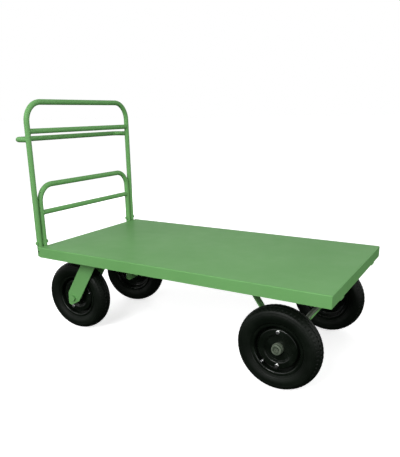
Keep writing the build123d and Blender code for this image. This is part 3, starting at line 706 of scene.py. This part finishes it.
handle_low, handle_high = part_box("handle_tube")
_, guard_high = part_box("guard_tube")
bar_low, bar_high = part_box("handle_cross_bar")
deck_low, deck_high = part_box("deck_tray")
TUBE_RADIUS = (handle_high.x - handle_low.x) / 2
BAR_RADIUS = (bar_high.z - bar_low.z) / 2
SIDES = ((-1, "right"), (1, "left"))


def node_middle(node):
    low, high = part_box(node)
    return (low + high) / 2


def saddle_ring(place_point):
    """Points round a bar where it meets a wider tube, from across, up and out of the tube's middle."""
    ring = []
    for i in range(RING_POINTS):
        turn = 2 * math.pi * i / RING_POINTS
        across = (BAR_RADIUS + WELD_STANDS_OFF) * math.cos(turn)
        up = (BAR_RADIUS + WELD_STANDS_OFF) * math.sin(turn)
        out = math.sqrt(max(TUBE_RADIUS**2 - across * across, 0))
        ring.append(place_point(across, up, out))
    return ring


def bar_welds(bar, hoop_high, body):
    """A closed bead where each end of a straight bar meets its upright."""
    middle = node_middle(bar)
    upright = hoop_high.y - TUBE_RADIUS
    for side, side_name in SIDES:

        def place_point(across, up, out, side=side):
            return middle.x + across, side * (upright - out), middle.z + up

        weld(f"weld_{bar}_{side_name}", saddle_ring(place_point), body, closed=True)


def push_bar_welds():
    """A closed bead where each arm of the push bar meets its upright."""
    middle = node_middle("push_bar")
    leg_x = handle_high.x - TUBE_RADIUS
    arm_y = handle_high.y - TUBE_RADIUS
    for side, side_name in SIDES:

        def place_point(across, up, out, side=side):
            return leg_x - out, side * arm_y + across, middle.z + up

        weld(f"weld_push_bar_{side_name}", saddle_ring(place_point), "handle", closed=True)


LEG_WELD_OFFSET = 7 * MM
LEG_WELD_GAP = 0.9 * MM
LEG_WELD_END = 6 * MM


def guard_leg_welds():
    """Beads down both sides of each guard leg where it stands against the end of the deck."""
    leg_y = guard_high.y - TUBE_RADIUS
    x = deck_low.x - LEG_WELD_GAP
    for side, side_name in SIDES:
        for offset, place_name in ((-LEG_WELD_OFFSET, "a"), (LEG_WELD_OFFSET, "b")):
            y = side * leg_y + offset
            line = [(x, y, deck_low.z + LEG_WELD_END), (x, y, deck_high.z - LEG_WELD_END)]
            weld(f"weld_guard_leg_{side_name}_{place_name}", line, "chassis")


FOOT_WELD_RETURN = 38 * MM
FOOT_WELD_DROP = 1.2 * MM


def bracket_welds():
    """Beads round the feet of the axle brackets, under their channels."""
    for _, side_name in SIDES:
        low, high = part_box("axle_bracket_" + side_name)
        z = high.z - FOOT_WELD_DROP
        for end, inward, place_name in ((low.x, 1, "back"), (high.x, -1, "front")):
            back = end + inward * FOOT_WELD_RETURN
            line = [(back, low.y, z), (end, low.y, z), (end, high.y, z), (back, high.y, z)]
            weld(f"weld_bracket_{side_name}_{place_name}", line, "chassis")


bar_welds("handle_cross_bar", handle_high, "handle")
bar_welds("guard_cross_bar", guard_high, "chassis")
push_bar_welds()
guard_leg_welds()
bracket_welds()


# ---------------------------------------------------------------- stage, light and camera
FLOOR_HALF = 120.0
FLOOR_GLOW = 0.64
# World brightness at heights from -1, straight down, to 1, straight up, spread over 0 to 1.
WORLD_LEVELS = ((0.46, 0.01), (0.49, 1.0), (0.65, 1.0), (0.75, 0.32), (1.0, 0.25))


def make_floor():
    """Pale floor with a little glow of its own, so that only soft shadows show on it."""
    mesh = bpy.data.meshes.new("floor")
    corners = [(-1, -1), (1, -1), (1, 1), (-1, 1)]
    mesh.from_pydata([(FLOOR_HALF * x, FLOOR_HALF * y, 0) for x, y in corners], [], [(0, 1, 2, 3)])
    floor = bpy.data.objects.new("floor", mesh)
    bpy.context.scene.collection.objects.link(floor)
    s = Surface("pale_floor", (0.93, 0.93, 0.93), 0.9, specular=0.0)
    s.clouds(s.noise(1.5, 3), 0.3, 0.7, (0.92, 0.92, 0.92), (0.94, 0.94, 0.94))
    s.shader.inputs["Emission Color"].default_value = (1, 1, 1, 1)
    s.shader.inputs["Emission Strength"].default_value = FLOOR_GLOW
    mesh.materials.append(s.material)
    floor.visible_diffuse = False
    floor.visible_glossy = False


def make_light(name, place, aim, power, size, glossy=True):
    light = bpy.data.lights.new(name, "AREA")
    light.energy = power
    light.shape = "DISK"
    light.size = size
    lamp = bpy.data.objects.new(name, light)
    lamp.location = place
    lamp.visible_glossy = glossy
    lamp.rotation_mode = "QUATERNION"
    lamp.rotation_quaternion = (Vector(aim) - Vector(place)).to_track_quat("-Z", "Y")
    bpy.context.scene.collection.objects.link(lamp)


def make_world():
    """White near the horizon, dimmer overhead, and dark below the floor."""
    world = bpy.data.worlds.new("studio")
    world.use_nodes = True
    nodes, links = world.node_tree.nodes, world.node_tree.links
    place = nodes.new("ShaderNodeTexCoord")
    split = nodes.new("ShaderNodeSeparateXYZ")
    height = nodes.new("ShaderNodeMapRange")
    ramp = nodes.new("ShaderNodeValToRGB")
    height.inputs["From Min"].default_value = -1.0
    links.new(place.outputs["Generated"], split.inputs["Vector"])
    links.new(split.outputs["Z"], height.inputs["Value"])
    links.new(height.outputs["Result"], ramp.inputs["Fac"])
    links.new(ramp.outputs["Color"], nodes["Background"].inputs["Color"])
    elements = ramp.color_ramp.elements
    for index, (position, level) in enumerate(WORLD_LEVELS):
        element = elements[index] if index < len(elements) else elements.new(position)
        element.position = position
        element.color = (level, level, level, 1)
    bpy.context.scene.world = world


def make_camera():
    """Three-quarter view from the front right, a little above the deck."""
    right = Vector((0.85954, 0.51078, -0.01696))
    up = Vector((-0.12954, 0.24985, 0.95958))
    data = bpy.data.cameras.new("camera")
    data.sensor_width = 36.0
    data.lens = 39.65
    data.shift_x = 0.0053
    data.shift_y = 0.0703
    camera = bpy.data.objects.new("camera", data)
    camera.matrix_world = framed(right, up, right.cross(up), (1.2694, -2.1012, 1.0980))
    bpy.context.scene.collection.objects.link(camera)
    bpy.context.scene.camera = camera


make_floor()
make_world()
make_light("key", (0.3, -3.9, 2.6), (0.1, 0, 0.3), power=105, size=1.8)
make_light("fill", (-2.2, -2.6, 3.4), (0, 0, 0.4), power=40, size=2.5)
make_light("end", (4.2, -1.2, 1.9), (0.6, 0, 0.4), power=46, size=1.8)
make_light("back", (-3.2, 3.6, 2.0), (0, 0, 0.4), power=34, size=2.4, glossy=False)
make_camera()
bpy.context.scene.view_settings.view_transform = "Standard"

bpy.context.view_layer.update()
